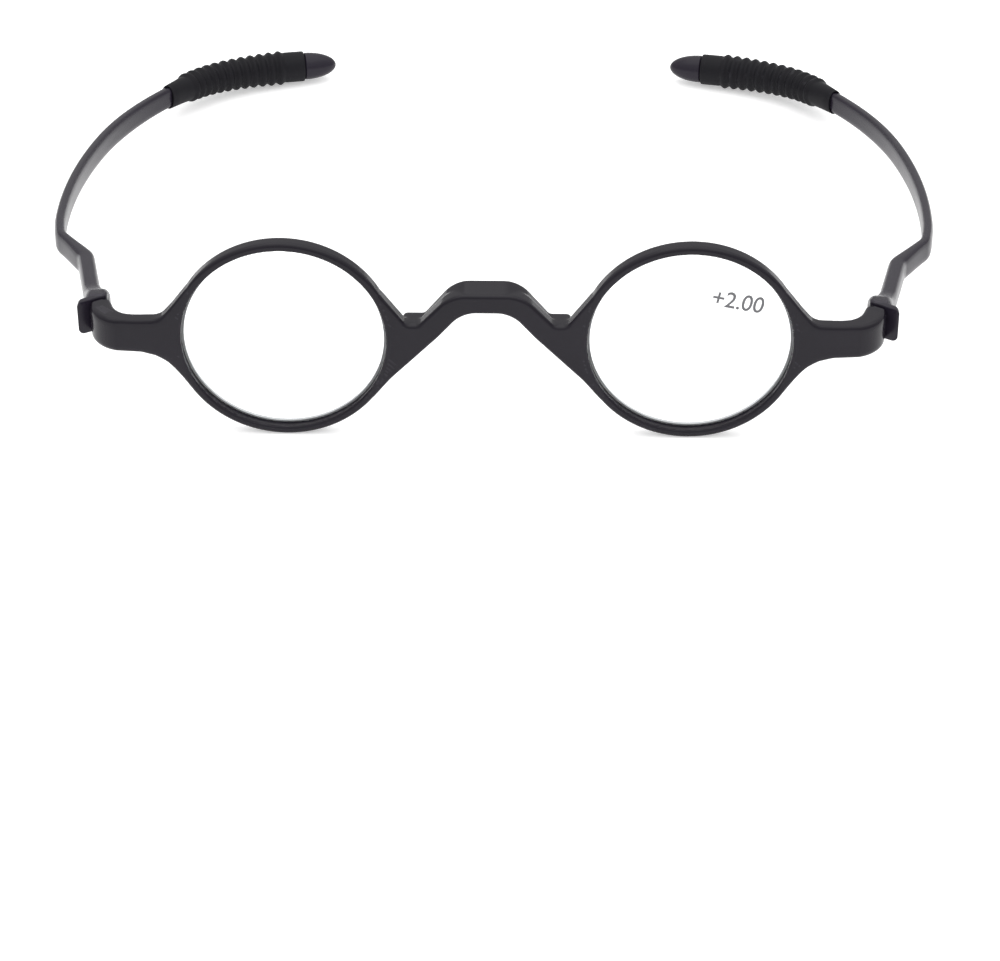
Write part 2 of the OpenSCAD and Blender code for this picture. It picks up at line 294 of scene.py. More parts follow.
# %% Grain: the tool's fine texture
# Puts out a height for bump, and a slow drift that tints and dulls the surface unevenly.
grain, grain_in, grain_out = effect_group(
    "moulded_grain", {"Fine scale": 6000.0, "Drift scale": 90.0},
    {"Height": "NodeSocketFloat", "Drift": "NodeSocketFloat"})
grain_place = grain.nodes.new("ShaderNodeTexCoord").outputs["Object"]
fine = noise(grain, grain_place, grain_in.outputs["Fine scale"], detail=3.0)
drift = noise(grain, grain_place, grain_in.outputs["Drift scale"], detail=3.0, roughness=0.6)
grain.links.new(fine, grain_out.inputs["Height"])
grain.links.new(drift, grain_out.inputs["Drift"])
print("effect:", grain.name)

# %% Wear: rubbed edges
# Pointiness is above 0.5 on edges that stand out. A patchy noise breaks the rub up.
wear, wear_in, wear_out = effect_group(
    "rubbed_edges", {"Start": 0.54, "Sharpness": 10.0, "Patch scale": 900.0},
    {"Mask": "NodeSocketFloat"})
pointed = wear.nodes.new("ShaderNodeNewGeometry").outputs["Pointiness"]
wear_place = wear.nodes.new("ShaderNodeTexCoord").outputs["Object"]
over = math_node(wear, "SUBTRACT", pointed, wear_in.outputs["Start"])
ramp = math_node(wear, "MULTIPLY", over, wear_in.outputs["Sharpness"], clamp=True)
patches = noise(wear, wear_place, wear_in.outputs["Patch scale"], detail=4.0, roughness=0.65)
wear.links.new(math_node(wear, "MULTIPLY", ramp, patches, clamp=True), wear_out.inputs["Mask"])
print("effect:", wear.name)

# %% Dust: pale specks that lie on what faces up
SPECK_FLOOR = 0.66
SPECK_CONTRAST = 9.0
dust, dust_in, dust_out = effect_group(
    "settled_dust", {"Speck scale": 2600.0, "Amount": 0.5}, {"Mask": "NodeSocketFloat"})
dust_place = dust.nodes.new("ShaderNodeTexCoord").outputs["Object"]
split = dust.nodes.new("ShaderNodeSeparateXYZ")
dust.links.new(dust.nodes.new("ShaderNodeNewGeometry").outputs["Normal"], split.inputs[0])
speck = noise(dust, dust_place, dust_in.outputs["Speck scale"], detail=2.0, roughness=0.7)
above_floor = math_node(dust, "SUBTRACT", speck, SPECK_FLOOR)
thin = math_node(dust, "MULTIPLY", above_floor, SPECK_CONTRAST, clamp=True)
facing = math_node(dust, "MAXIMUM", split.outputs["Z"], 0.0)
settled = math_node(dust, "MULTIPLY", thin, facing)
dust.links.new(math_node(dust, "MULTIPLY", settled, dust_in.outputs["Amount"], clamp=True),
               dust_out.inputs["Mask"])
print("effect:", dust.name)

# %% [markdown]
# ## Moulded, rubber and steel finishes
#
# All dark finishes follow one recipe: a deep colour that drifts a little, a roughness that the
# drift and the dust change, and a bump from the grain. The values set them apart. The front is
# tumbled to a gloss, the temples come out of the tool a little duller, and the rubber is dull.


# %% Recipe for a moulded finish
GRAIN_DEPTH = 0.00005


def place_group(mat, group, **values):
    node = mat.node_tree.nodes.new("ShaderNodeGroup")
    node.node_tree = group
    for label, value in values.items():
        node.inputs[label.replace("_", " ")].default_value = value
    return node


def mixed_colour(tree, factor, first, second):
    node = tree.nodes.new("ShaderNodeMix")
    node.data_type = "RGBA"
    tree.links.new(factor, node.inputs["Factor"])
    # A mix node has its colours at inputs 6 and 7, and puts the mixed one out at output 2.
    for socket, value in ((node.inputs[6], first), (node.inputs[7], second)):
        if isinstance(value, tuple):
            socket.default_value = value
        else:
            tree.links.new(value, socket)
    return node.outputs[2]


def between(tree, factor, low, high):
    node = tree.nodes.new("ShaderNodeMapRange")
    node.inputs["To Min"].default_value = low
    node.inputs["To Max"].default_value = high
    tree.links.new(factor, node.inputs["Value"])
    return node.outputs["Result"]


def moulded(name, dark, light, worn, dusty, rough, bump, grain_scale, dust_amount, metallic=0.0,
            specular=0.5):
    """rough is the roughness from the glossiest to the dullest patch, bump the grain's depth."""
    mat = bpy.data.materials.new(name)
    mat.use_nodes = True
    tree = mat.node_tree
    shader = tree.nodes["Principled BSDF"]
    shader.inputs["Metallic"].default_value = metallic
    shader.inputs["Specular IOR Level"].default_value = specular
    texture = place_group(mat, grain, Fine_scale=grain_scale)
    rubs = place_group(mat, wear)
    specks = place_group(mat, dust, Amount=dust_amount)
    colour = mixed_colour(tree, texture.outputs["Drift"], dark, light)
    colour = mixed_colour(tree, rubs.outputs["Mask"], colour, worn)
    colour = mixed_colour(tree, specks.outputs["Mask"], colour, dusty)
    tree.links.new(colour, shader.inputs["Base Color"])
    duller = math_node(tree, "ADD", texture.outputs["Drift"], specks.outputs["Mask"], clamp=True)
    tree.links.new(between(tree, duller, *rough), shader.inputs["Roughness"])
    relief = tree.nodes.new("ShaderNodeBump")
    relief.inputs["Strength"].default_value = bump
    relief.inputs["Distance"].default_value = GRAIN_DEPTH
    tree.links.new(texture.outputs["Height"], relief.inputs["Height"])
    tree.links.new(relief.outputs["Normal"], shader.inputs["Normal"])
    print("finish:", name)
    return mat


# %% The four finishes
gloss_nylon = moulded("gloss_nylon", (0.006, 0.0048, 0.0085, 1), (0.013, 0.0108, 0.0165, 1),
                      (0.03, 0.027, 0.036, 1), (0.07, 0.07, 0.075, 1),
                      rough=(0.12, 0.26), bump=0.05, grain_scale=5000.0, dust_amount=0.05,
                      specular=0.22)
satin_nylon = moulded("satin_nylon", (0.011, 0.0088, 0.0155, 1), (0.02, 0.0165, 0.026, 1),
                      (0.05, 0.044, 0.058, 1), (0.16, 0.16, 0.16, 1),
                      rough=(0.18, 0.32), bump=0.08, grain_scale=5000.0, dust_amount=0.1,
                      specular=0.22)
grip_rubber = moulded("grip_rubber", (0.0045, 0.0042, 0.006, 1), (0.009, 0.0086, 0.0115, 1),
                      (0.026, 0.025, 0.03, 1), (0.12, 0.12, 0.12, 1),
                      rough=(0.45, 0.65), bump=0.3, grain_scale=3600.0, dust_amount=0.12,
                      specular=0.16)
hinge_steel = moulded("hinge_steel", (0.42, 0.42, 0.41, 1), (0.6, 0.6, 0.58, 1),
                      (0.75, 0.75, 0.73, 1), (0.3, 0.3, 0.3, 1),
                      rough=(0.24, 0.42), bump=0.1, grain_scale=8000.0, dust_amount=0.1,
                      metallic=1.0)


# %% [markdown]
# ### Clear resin, its ground edge, and the ink
#
# The lens is cast resin that bends light as glass does. Rays from the lamps go straight through
# it, because a renderer would otherwise put a dark shadow where a real lens throws light. The
# edge is cut on a grinding wheel, so it is white and rough, and shows as a pale ring. The power
# is printed in a thin grey ink.


# %% Lens finishes
def lens_resin():
    mat = bpy.data.materials.new("lens_resin")
    mat.use_nodes = True
    tree = mat.node_tree
    shader = tree.nodes["Principled BSDF"]
    shader.inputs["Transmission Weight"].default_value = 1.0
    shader.inputs["IOR"].default_value = 1.5
    texture = place_group(mat, grain, Fine_scale=1200.0, Drift_scale=60.0)
    tree.links.new(mixed_colour(tree, texture.outputs["Drift"], (0.985, 0.992, 0.99, 1),
                                (1.0, 1.0, 1.0, 1)), shader.inputs["Base Color"])
    tree.links.new(between(tree, texture.outputs["Drift"], 0.0, 0.02), shader.inputs["Roughness"])
    clear = tree.nodes.new("ShaderNodeBsdfTransparent")
    path = tree.nodes.new("ShaderNodeLightPath")
    mix = tree.nodes.new("ShaderNodeMixShader")
    tree.links.new(math_node(tree, "MAXIMUM", path.outputs["Is Shadow Ray"],
                             path.outputs["Is Diffuse Ray"]), mix.inputs[0])
    tree.links.new(shader.outputs[0], mix.inputs[1])
    tree.links.new(clear.outputs[0], mix.inputs[2])
    tree.links.new(mix.outputs[0], tree.nodes["Material Output"].inputs["Surface"])
    print("finish:", mat.name)
    return mat


ground_edge = moulded("ground_edge", (0.62, 0.64, 0.65, 1), (0.8, 0.82, 0.83, 1),
                      (0.86, 0.87, 0.88, 1), (0.6, 0.6, 0.6, 1),
                      rough=(0.5, 0.7), bump=0.3, grain_scale=9000.0, dust_amount=0.0)
mark_ink = moulded("mark_ink", (0.08, 0.08, 0.09, 1), (0.15, 0.15, 0.16, 1),
                   (0.15, 0.15, 0.16, 1), (0.3, 0.3, 0.3, 1),
                   rough=(0.45, 0.6), bump=0.1, grain_scale=9000.0, dust_amount=0.0)
clear_resin = lens_resin()

# %% [markdown]
# ## The front moulding
#
# ### Rims
#
# A rim is a ring with a flat-bottomed groove inside, into which the lens snaps. Its section is
# spun once round the axis of the lens. The outer edges are well rounded, as the tumbling barrel
# leaves them.


# %% Rim section, spun
LENS_FRONT = 1.55
GROOVE_LOW = 1.8
GROOVE_HIGH = 2.5
GROOVE_R = opening_r + 0.6


def rim(x):
    section = [(opening_r, 0, 0.3), (rim_r, 0, 0.6), (rim_r, rim_depth, 0.6),
               (opening_r, rim_depth, 0.15), (opening_r, GROOVE_HIGH, 0),
               (GROOVE_R, GROOVE_HIGH, 0), (GROOVE_R, GROOVE_LOW, 0), (opening_r, GROOVE_LOW, 0)]
    bm = outline(section, lambda r, y: (x + r, y, lens_z))
    bmesh.ops.delete(bm, geom=bm.faces[:], context="FACES_ONLY")
    bmesh.ops.spin(bm, geom=bm.verts[:] + bm.edges[:], cent=(x, 0, lens_z), axis=(0, 1, 0),
                   angle=2 * math.pi, steps=180, use_merge=True, use_duplicate=False)
    bmesh.ops.remove_doubles(bm, verts=bm.verts, dist=0.001)
    bmesh.ops.recalc_face_normals(bm, faces=bm.faces)
    return bm


# %% [markdown]
# ### Bridge
#
# The bridge is an arch that stands on the nose, and it runs down into a web beside each rim.
# Seen from the front it is one outline, as deep as the rims. Its middle part is deeper, because
# it reaches back over the nose, and its top is slightly domed. Between the arch and each rim
# lies a notch with a flat ledge.

# %% Bridge outlines
ARCH_TOP = lens_z + 8.45
ARCH_LOW = lens_z + 5.2
NOTCH_Z = lens_z + 2.9
ARCH_HALF = [(3.8, ARCH_LOW, 4.5), (lens_x - 24.4, lens_z + 0.8, 8), (lens_x - 16.8, lens_z - 7, 8),
             (lens_x - 13.8, lens_z - 10.8, 0), (lens_x - 12, lens_z, 0),
             (lens_x - 15.35, lens_z + 8.4, 0), (lens_x - 19.4, NOTCH_Z, 1.3),
             (lens_x - 21.3, NOTCH_Z, 1.3), (5.6, ARCH_TOP, 5)]
LEDGE_END = lens_x - 18.6
BRIDGE_DEPTH = 4.7
WEB_EDGE = 0.45
SADDLE_EDGE = 0.6
SADDLE_FRONT = 0.4
DOME_RISE = 0.5


def front_view(corners, front, back, edge):
    bm = outline(corners, lambda x, z: (x, front, z))
    extrude(bm, (0, back - front, 0))
    soften(bm, edge)
    return bm


def both_halves(half):
    return half + [(-x, z, r) for x, z, r in reversed(half)]


def bridge():
    web = front_view(both_halves(ARCH_HALF), 0, rim_depth, WEB_EDGE)
    rear_half = ARCH_HALF[:2] + [(LEDGE_END - 0.5, lens_z - 3.6, 0), (LEDGE_END, NOTCH_Z + 0.1, 0.8),
                                 (lens_x - 22.1, NOTCH_Z + 0.1, 0.6), (5.2, ARCH_TOP, 5)]
    saddle = front_view(both_halves(rear_half), SADDLE_FRONT, BRIDGE_DEPTH, SADDLE_EDGE)
    for vert in saddle.verts:
        dome = max(0, vert.co.z - lens_z - 5.5) / 3
        vert.co.z += DOME_RISE * dome * min(1, max(0, vert.co.y - 0.8) / 2)
    return [web, saddle]


# %% [markdown]
# ### Endpieces
#
# An endpiece grows out of the rim's side, runs outwards, and wraps back to the hinge. A bar with
# rounded corners is drawn through a few stations. Each station names where its outer and inner
# face stand in plan, and how low and high it reaches there, so the flare at the rim and the turn
# of the corner come out of one skin.

# %% Endpiece stations
END_LOW = lens_z - 2.4
END_TOP = lens_z + 3.4
CORNER_R = 5.8
CORNER = Vector((lens_x + 31 - CORNER_R, CORNER_R))
FLARE = [(14.0, 10.0, 10.2), (15.1, 8.9, 8.95), (16.2, 7.2, 7.5), (17.4, 5.55, 5.9),
         (18.4, 4.4, 4.7), (19.0, 3.95, 4.05), (19.6, 3.55, 3.68), (20.4, 3.1, 3.45),
         (22.5, 2.5, 3.4), (24.0, 2.4, 3.4)]
CORNER_INNER = {-75: (lens_x + 25.1, 2.95), -60: (lens_x + 26.1, 3.6), -45: (lens_x + 26.8, 4.45),
                -30: (lens_x + 27.2, 5.3), -15: (lens_x + 27.5, 6.2)}
SEAM_IN = Vector((lens_x + 28.1, 7.6))
SEAM_ANGLE = math.radians(-31)
SEAM_DIR = Vector((math.cos(SEAM_ANGLE), math.sin(SEAM_ANGLE)))
SEAM_BACK = Vector((-SEAM_DIR.y, SEAM_DIR.x))
SEAM_LEN = 3.4
SEAM_RISE = 0.05
END_ROUNDING = 0.17


def station(outer, inner, low, high):
    """Place of a bar's section that stands upright between two points of the plan."""
    outer, inner = Vector(outer), Vector(inner)
    middle = (outer + inner) / 2
    across = outer - inner
    return place_at(Vector((*middle, (low + high) / 2)), Vector((*across, 0)),
                    Vector((0, 0, high - low)))


def endpiece():
    places = [station((lens_x + x, 0), (lens_x + x, rim_depth), lens_z - low, lens_z + high)
              for x, low, high in FLARE]
    for angle in range(-75, -14, 5):
        turn = math.radians(angle)
        outer = CORNER + CORNER_R * Vector((math.cos(turn), math.sin(turn)))
        before = angle // 15 * 15
        inner = Vector(CORNER_INNER[before])
        if angle > before:
            inner = inner.lerp(Vector(CORNER_INNER[before + 15]), (angle - before) / 15)
        places.append(station(outer, inner, END_LOW, END_TOP))
    places.append(station(SEAM_IN + SEAM_LEN * SEAM_DIR, SEAM_IN, END_LOW,
                          END_TOP + SEAM_RISE))
    return swept(5, places, corner=END_ROUNDING)


# %% [markdown]
# ### One moulding from the parts
#
# In the mould, rims, bridge and endpieces are one cavity with soft inner corners. Voxel remeshing
# gives just that: it wraps one closed skin round all the parts, and smoothing it rounds the inner
# corners as a cutter with a ball nose does. Before that, a plug clears the lens openings of the
# bars' hidden ends. After that come the cuts which must stay crisp: the hinge pocket and the
# relief at the inner end of the seam.

# %% Fuse and smooth the front
VOXEL = 0.19
PLUG_MARGIN = 0.8
BELOW = -1
ABOVE = 2 * lens_z


def cylinder(x, y, low, high, radius, sides=48):
    """Upright round tool."""
    bm = bmesh.new()
    bmesh.ops.create_cone(bm, cap_ends=True, segments=sides, radius1=radius, radius2=radius,
                          depth=high - low)
    bmesh.ops.translate(bm, vec=(x, y, (low + high) / 2), verts=bm.verts)
    return bm


def lens_plug(x):
    bm = cylinder(0, 0, -BRIDGE_DEPTH, BRIDGE_DEPTH * 2, opening_r + PLUG_MARGIN,
                  sides=120)
    bmesh.ops.rotate(bm, verts=bm.verts, matrix=Matrix.Rotation(-math.pi / 2, 3, "X"))
    bmesh.ops.translate(bm, vec=(x, 0, lens_z), verts=bm.verts)
    return bm


def block(low, high):
    bm = bmesh.new()
    bmesh.ops.create_cube(bm, size=1)
    size = Vector(high) - Vector(low)
    bmesh.ops.scale(bm, vec=size, verts=bm.verts)
    bmesh.ops.translate(bm, vec=(Vector(high) + Vector(low)) / 2, verts=bm.verts)
    return bm


POCKET_R = 1.15
POCKET_TOP = 1.6
RELIEF_R = 0.7
RELIEF_REACH = 3
RELIEF_START = 0.25
RELIEF_AHEAD = 0.65
RELIEF_BEHIND = 2.35
ends = endpiece()
webs = [combined(bm, plug, "DIFFERENCE") for bm, plug in (
    (ends.copy(), lens_plug(lens_x)), (mirrored(ends), lens_plug(-lens_x)))]
for bm in bridge():
    bm = combined(bm, lens_plug(lens_x), "DIFFERENCE")
    webs.append(combined(bm, lens_plug(-lens_x), "DIFFERENCE"))
ends.free()
front = joined([rim(lens_x), rim(-lens_x)] + webs)
front = modified(front, [("REMESH", dict(mode="VOXEL", voxel_size=VOXEL)),
                         ("SMOOTH", dict(factor=0.5, iterations=6))])
for side in (1, -1):
    x = side * pin.x
    near = x - side * RELIEF_START
    far = x - side * RELIEF_REACH
    for tool in (cylinder(x, pin.y, BELOW, pin.z + POCKET_TOP, POCKET_R),
                 cylinder(x, pin.y, BELOW, ABOVE, RELIEF_R),
                 block((min(near, far), pin.y - RELIEF_AHEAD, BELOW),
                       (max(near, far), pin.y + RELIEF_BEHIND, ABOVE))):
        front = combined(front, tool, "DIFFERENCE")
finish_piece(front, "front_moulding", "front", "front_frame", gloss_nylon,
             smooth_angle=35)

# %% [markdown]
# ## The lenses
#
# A reading lens of +2.00 dioptres is a meniscus: both faces bulge forwards, the front one more.
# Its section is drawn from the two radii, with the ground bevel that sits in the rim's groove,
# and spun round the lens's axis. A narrow safety bevel takes the sharp corner off each face, and
# shows as a bright line inside the lower rim.

# %% Lens section, spun
FRONT_R = 88
REAR_R = 136
EDGE = 1.2
EDGE_R = opening_r - 0.03
BEVEL = (1.83, 2.05, 2.25, 2.47)
SAFETY_BEVEL = 0.32


def sag(radius, distance):
    return radius - math.sqrt(radius ** 2 - distance ** 2)


def lens(x):
    rings = [EDGE_R * i / 16 for i in range(16)] + [EDGE_R - SAFETY_BEVEL]
    crown = sag(FRONT_R, EDGE_R)
    hollow = sag(REAR_R, EDGE_R)
    section = [(r, LENS_FRONT - crown + sag(FRONT_R, r)) for r in rings]
    section += [(EDGE_R, BEVEL[0]), (lens_r, BEVEL[1]), (lens_r, BEVEL[2]), (EDGE_R, BEVEL[3])]
    section += [(r, LENS_FRONT + EDGE - hollow + sag(REAR_R, r)) for r in reversed(rings)]
    bm = bmesh.new()
    verts = [bm.verts.new((x + r, y, lens_z)) for r, y in section]
    for first, second in zip(verts, verts[1:]):
        bm.edges.new((first, second))
    bmesh.ops.spin(bm, geom=bm.verts[:] + bm.edges[:], cent=(x, 0, lens_z), axis=(0, 1, 0),
                   angle=2 * math.pi, steps=160, use_merge=True, use_duplicate=False)
    bmesh.ops.remove_doubles(bm, verts=bm.verts, dist=0.001)
    bmesh.ops.recalc_face_normals(bm, faces=bm.faces)
    for face in bm.faces:
        middle = face.calc_center_median()
        if math.hypot(middle.x - x, middle.z - lens_z) > EDGE_R - SAFETY_BEVEL:
            face.material_index = 1
    return bm


for side, x in (("left", lens_x), ("right", -lens_x)):
    finish_piece(lens(x), f"reading_lens_{side}", "front", f"lens_{side}",
                 [clear_resin, ground_edge], smooth_angle=25)

# %% [markdown]
# ### The printed power
#
# The dioptre number is pad-printed on the left lens, small and grey, along a line that falls
# outwards. It is text turned into a mesh, thickened a little and laid on the crown of the lens.

# %% Power mark
MARK_AT = Vector((39.3, 25.1))
MARK_WIDTH = 8.2
MARK_HEIGHT = 2.75
MARK_TILT = math.radians(-13)
INK = 0.02
INK_BACK = 0.005


def power_mark():
    text = bpy.data.curves.new("power_mark", "FONT")
    text.body = "+2.00"
    text.offset = 0.01
    obj = bpy.data.objects.new("bench", text)
    bpy.context.scene.collection.objects.link(obj)
    bpy.context.view_layer.update()
    flat = bpy.data.meshes.new_from_object(obj.evaluated_get(bpy.context.evaluated_depsgraph_get()))
    bm = bmesh.new()
    bm.from_mesh(flat)
    bpy.data.objects.remove(obj)
    bpy.data.meshes.remove(flat)
    bmesh.ops.remove_doubles(bm, verts=bm.verts, dist=0.0001)
    low = Vector((min(v.co.x for v in bm.verts), min(v.co.y for v in bm.verts), 0))
    high = Vector((max(v.co.x for v in bm.verts), max(v.co.y for v in bm.verts), 0))
    bmesh.ops.translate(bm, vec=-(low + high) / 2, verts=bm.verts)
    bmesh.ops.scale(bm, vec=(MARK_WIDTH / (high.x - low.x), MARK_HEIGHT / (high.y - low.y), 1),
                    verts=bm.verts)
    bmesh.ops.rotate(bm, verts=bm.verts, matrix=Matrix.Rotation(MARK_TILT, 3, "Z"))
    bmesh.ops.rotate(bm, verts=bm.verts, matrix=Matrix.Rotation(math.pi / 2, 3, "X"))
    bmesh.ops.translate(bm, vec=(MARK_AT.x, 0, MARK_AT.y), verts=bm.verts)
    out = bmesh.ops.extrude_face_region(bm, geom=bm.faces[:])
    front_skin = {g for g in out["geom"] if isinstance(g, bmesh.types.BMVert)}
    crown = LENS_FRONT - sag(FRONT_R, EDGE_R)
    for vert in bm.verts:
        off_axis = math.hypot(vert.co.x - lens_x, vert.co.z - lens_z)
        lift = INK if vert in front_skin else INK_BACK
        vert.co.y = crown + sag(FRONT_R, off_axis) - lift
    bmesh.ops.recalc_face_normals(bm, faces=bm.faces)
    return bm


finish_piece(power_mark(), "power_mark", "front", None, mark_ink)

# %% [markdown]
# ## The temples
#
# A temple falls in a gentle slope from the hinge to the tip, and it bows in plan: out past a
# double bend, then round behind the head. Its centre line is a chain of arcs, each a length and
# a turn, so one small function walks along it.

# %% Centre line
SLOPE = math.radians(7.1)
SLOPE_START = Vector((0, 6, 17.596))
PATH_START = (lens_x + 31, 4.05, 11.5)
STRETCHES = [(17.9, 0), (1.9, 19.7), (8.4, 0), (2.2, -20), (6.8, -7.6), (35, -13.9), (34, -23),
             (10, -26), (16.5, -21.5), (4.4, 0)]
DOWNHILL = Vector((0, math.cos(SLOPE), -math.sin(SLOPE)))
UP = Vector((0, math.sin(SLOPE), math.cos(SLOPE)))
OUT = Vector((1, 0, 0))


def walk(s):
    """Point of the centre line at distance s, and the direction out of the temple's side there."""
    x, y, heading = PATH_START
    for i, (length, turn) in enumerate(STRETCHES):
        step = s if i == len(STRETCHES) - 1 else min(s, length)
        half = math.radians(turn * step / length) / 2
        chord = step if abs(half) < 1e-6 else step * math.sin(half) / half
        middle = math.radians(heading) + half
        x += chord * math.sin(middle)
        y += chord * math.cos(middle)
        heading += turn * step / length
        s -= step
        if s <= 0:
            break
    side = math.cos(math.radians(heading)) * OUT - math.sin(math.radians(heading)) * DOWNHILL
    return SLOPE_START + x * OUT + y * DOWNHILL, side


def on_path(s, width, height):
    centre, side = walk(s)
    return place_at(centre, side * width, UP * height)


SLEEVE_START = 100
RIBS_START = 105.4
RIB_PITCH = 1.8
RIB_COUNT = 12
RIBS_END = RIBS_START + RIB_COUNT * RIB_PITCH
SLEEVE_END = 130.9
BARE_LENGTH = 6.2
print("tip at", [round(v, 2) for v in walk(SLEEVE_END + BARE_LENGTH)[0]])

# %% [markdown]
# ### Arm, bow and core
#
# The temple starts as a block behind the seam. It narrows into the arm, bends twice, thins into
# the bow and ends as a core inside the sleeve. All of that is one bar with rounded corners, drawn
# through stations. The tab that closes the seam is a plate of its own, and the bullet tip is
# spun. Both are fused with the bar.

# %% Temple stations
ARM_WIDTH = 2.8
BOW_WIDTH = 1.85
BOW_HEIGHT = 3.9
FOOT_LOW = lens_z + 0.7 - 3
FOOT_TOP = lens_z + 0.7 + 3
TAB_REACH = 5.6
TAB_THICKNESS = 1.28
BAR_ROUNDING = 0.3
CORE_WIDTH = 1.5
CORE_HEIGHT = 2.6
TIP_R = 2.55


def foot(along, back):
    return SEAM_IN + along * SEAM_DIR + back * SEAM_BACK


def blend(t, a, b):
    t = min(1, max(0, t))
    t = t * t * (3 - 2 * t)
    return a + (b - a) * t


def foot_places():
    """Upright stations from the seam to the arm: inner point, outer point, share of the taper."""
    stations = [(foot(0.35, 0.2), foot(3.95, 0.2), 0), ((lens_x + 28.3, 8.4), foot(3.95, 1.3), 0),
                ((lens_x + 28.3, 9.4), (lens_x + 32.25, 9.0), 0.1),
                ((lens_x + 28.4, 10.8), (lens_x + 32.5, 10.6), 0.38),
                ((lens_x + 28.9, 12.2), (lens_x + 32.85, 12.0), 0.68),
                ((lens_x + 29.8, 14.0), (lens_x + 33.2, 13.7), 0.92),
                ((lens_x + 30.8, 16.1), (lens_x + 33.6, 15.7), 1)]
    places = []
    for inner, outer, taper in stations:
        middle = SLOPE_START.z - (outer[1] - SLOPE_START.y) * math.tan(SLOPE)
        low = blend(taper, FOOT_LOW, middle - BOW_HEIGHT / 2)
        high = blend(taper, FOOT_TOP, middle + BOW_HEIGHT / 2)
        places.append(station(outer, inner, low, high))
    return places


def bow_places():
    spots = [13.5, 16] + [17.3 + 0.35 * i for i in range(9)] + [21.5, 23.5, 25.5]
    spots += [27.5 + 0.4 * i for i in range(10)] + [32.5 + 2.5 * i for i in range(27)]
    places = []
    for s in spots + [SLEEVE_START - 1, SLEEVE_START + 1.3]:
        width = blend((s - 18) / 10, ARM_WIDTH, BOW_WIDTH)
        places.append(on_path(s, width, blend((s - 80) / 20, BOW_HEIGHT, BOW_HEIGHT - 0.2)))
    core = [SLEEVE_START + 1.5 + 2.3 * i for i in range(14)]
    places += [on_path(s, CORE_WIDTH, CORE_HEIGHT) for s in core + [SLEEVE_END + 1]]
    return places


def bullet_tip():
    """The bare end, spun about its own axis and set at the end of the centre line."""
    bm = bmesh.new()
    curve = [(TIP_R * math.cos(a), 0.3 + (BARE_LENGTH - 0.35) * math.sin(a))
             for a in (math.pi / 2 * i / 14 for i in range(15))]
    points = [(0, 0.05), (TIP_R - 0.35, 0.05), (TIP_R - 0.1, 0.15)] + curve
    verts = [bm.verts.new((r, y, 0)) for r, y in points]
    for first, second in zip(verts, verts[1:]):
        bm.edges.new((first, second))
    bmesh.ops.spin(bm, geom=bm.verts[:] + bm.edges[:], cent=(0, 0, 0), axis=(0, 1, 0),
                   angle=2 * math.pi, steps=48, use_merge=True, use_duplicate=False)
    bmesh.ops.remove_doubles(bm, verts=bm.verts, dist=0.001)
    bmesh.ops.recalc_face_normals(bm, faces=bm.faces)
    bmesh.ops.transform(bm, matrix=on_path(SLEEVE_END, 1, 1), verts=bm.verts)
    return bm


def tab():
    """Plate that closes the seam and stands out past the endpiece."""
    corners = [(0.35, FOOT_LOW + 0.05, 0.5), (TAB_REACH, FOOT_LOW + 0.05, 1.1),
               (TAB_REACH, FOOT_TOP, 0.8), (0.35, FOOT_TOP, 0.5)]
    bm = outline(corners, lambda along, z: (*foot(along, 0.12), z))
    extrude(bm, (0, TAB_THICKNESS, 0))
    soften(bm, 0.2)
    return bm


# %% Build both temples
temple = combined(swept(5, foot_places() + bow_places(), corner=BAR_ROUNDING), tab(), "UNION")
temple = combined(temple, bullet_tip(), "UNION")
pocket = cylinder(pin.x, pin.y, BELOW, pin.z + POCKET_TOP, POCKET_R)
temple = combined(temple, pocket, "DIFFERENCE")
for side, bm in (("right", mirrored(temple)), ("left", temple)):
    finish_piece(bm, f"temple_arm_{side}", f"temple_{side}", f"temple_{side}",
                 satin_nylon, smooth_angle=35)

# %% [markdown]
# ## The rubber sleeves
#
# A sleeve is pushed over the bullet tip and grips the core. Its collar is oval, to fit the bow,
# and swells into twelve soft ribs, which grow towards the tip. A smooth band ends it. The outer
# skin is a ring drawn through many stations, ten to each rib, and the room for the core is cut
# out of it.


# %% Sleeve skins
GROOVE_START_R = 2.3
GROOVE_GROWTH = 0.5
RIB_HEIGHT = 0.45
BAND_WIDTH = 5.7
LINING_MOUTH = (2.0, 4.05)
LINING_CORE = (1.6, 2.7)
LINING_ROUNDING = 0.25


def sleeve_radius(s):
    share = (s - RIBS_START) / (RIBS_END - RIBS_START)
    ridge = (1 - math.cos(2 * math.pi * (s - RIBS_START) / RIB_PITCH)) / 2
    return GROOVE_START_R + GROOVE_GROWTH * share + RIB_HEIGHT * ridge


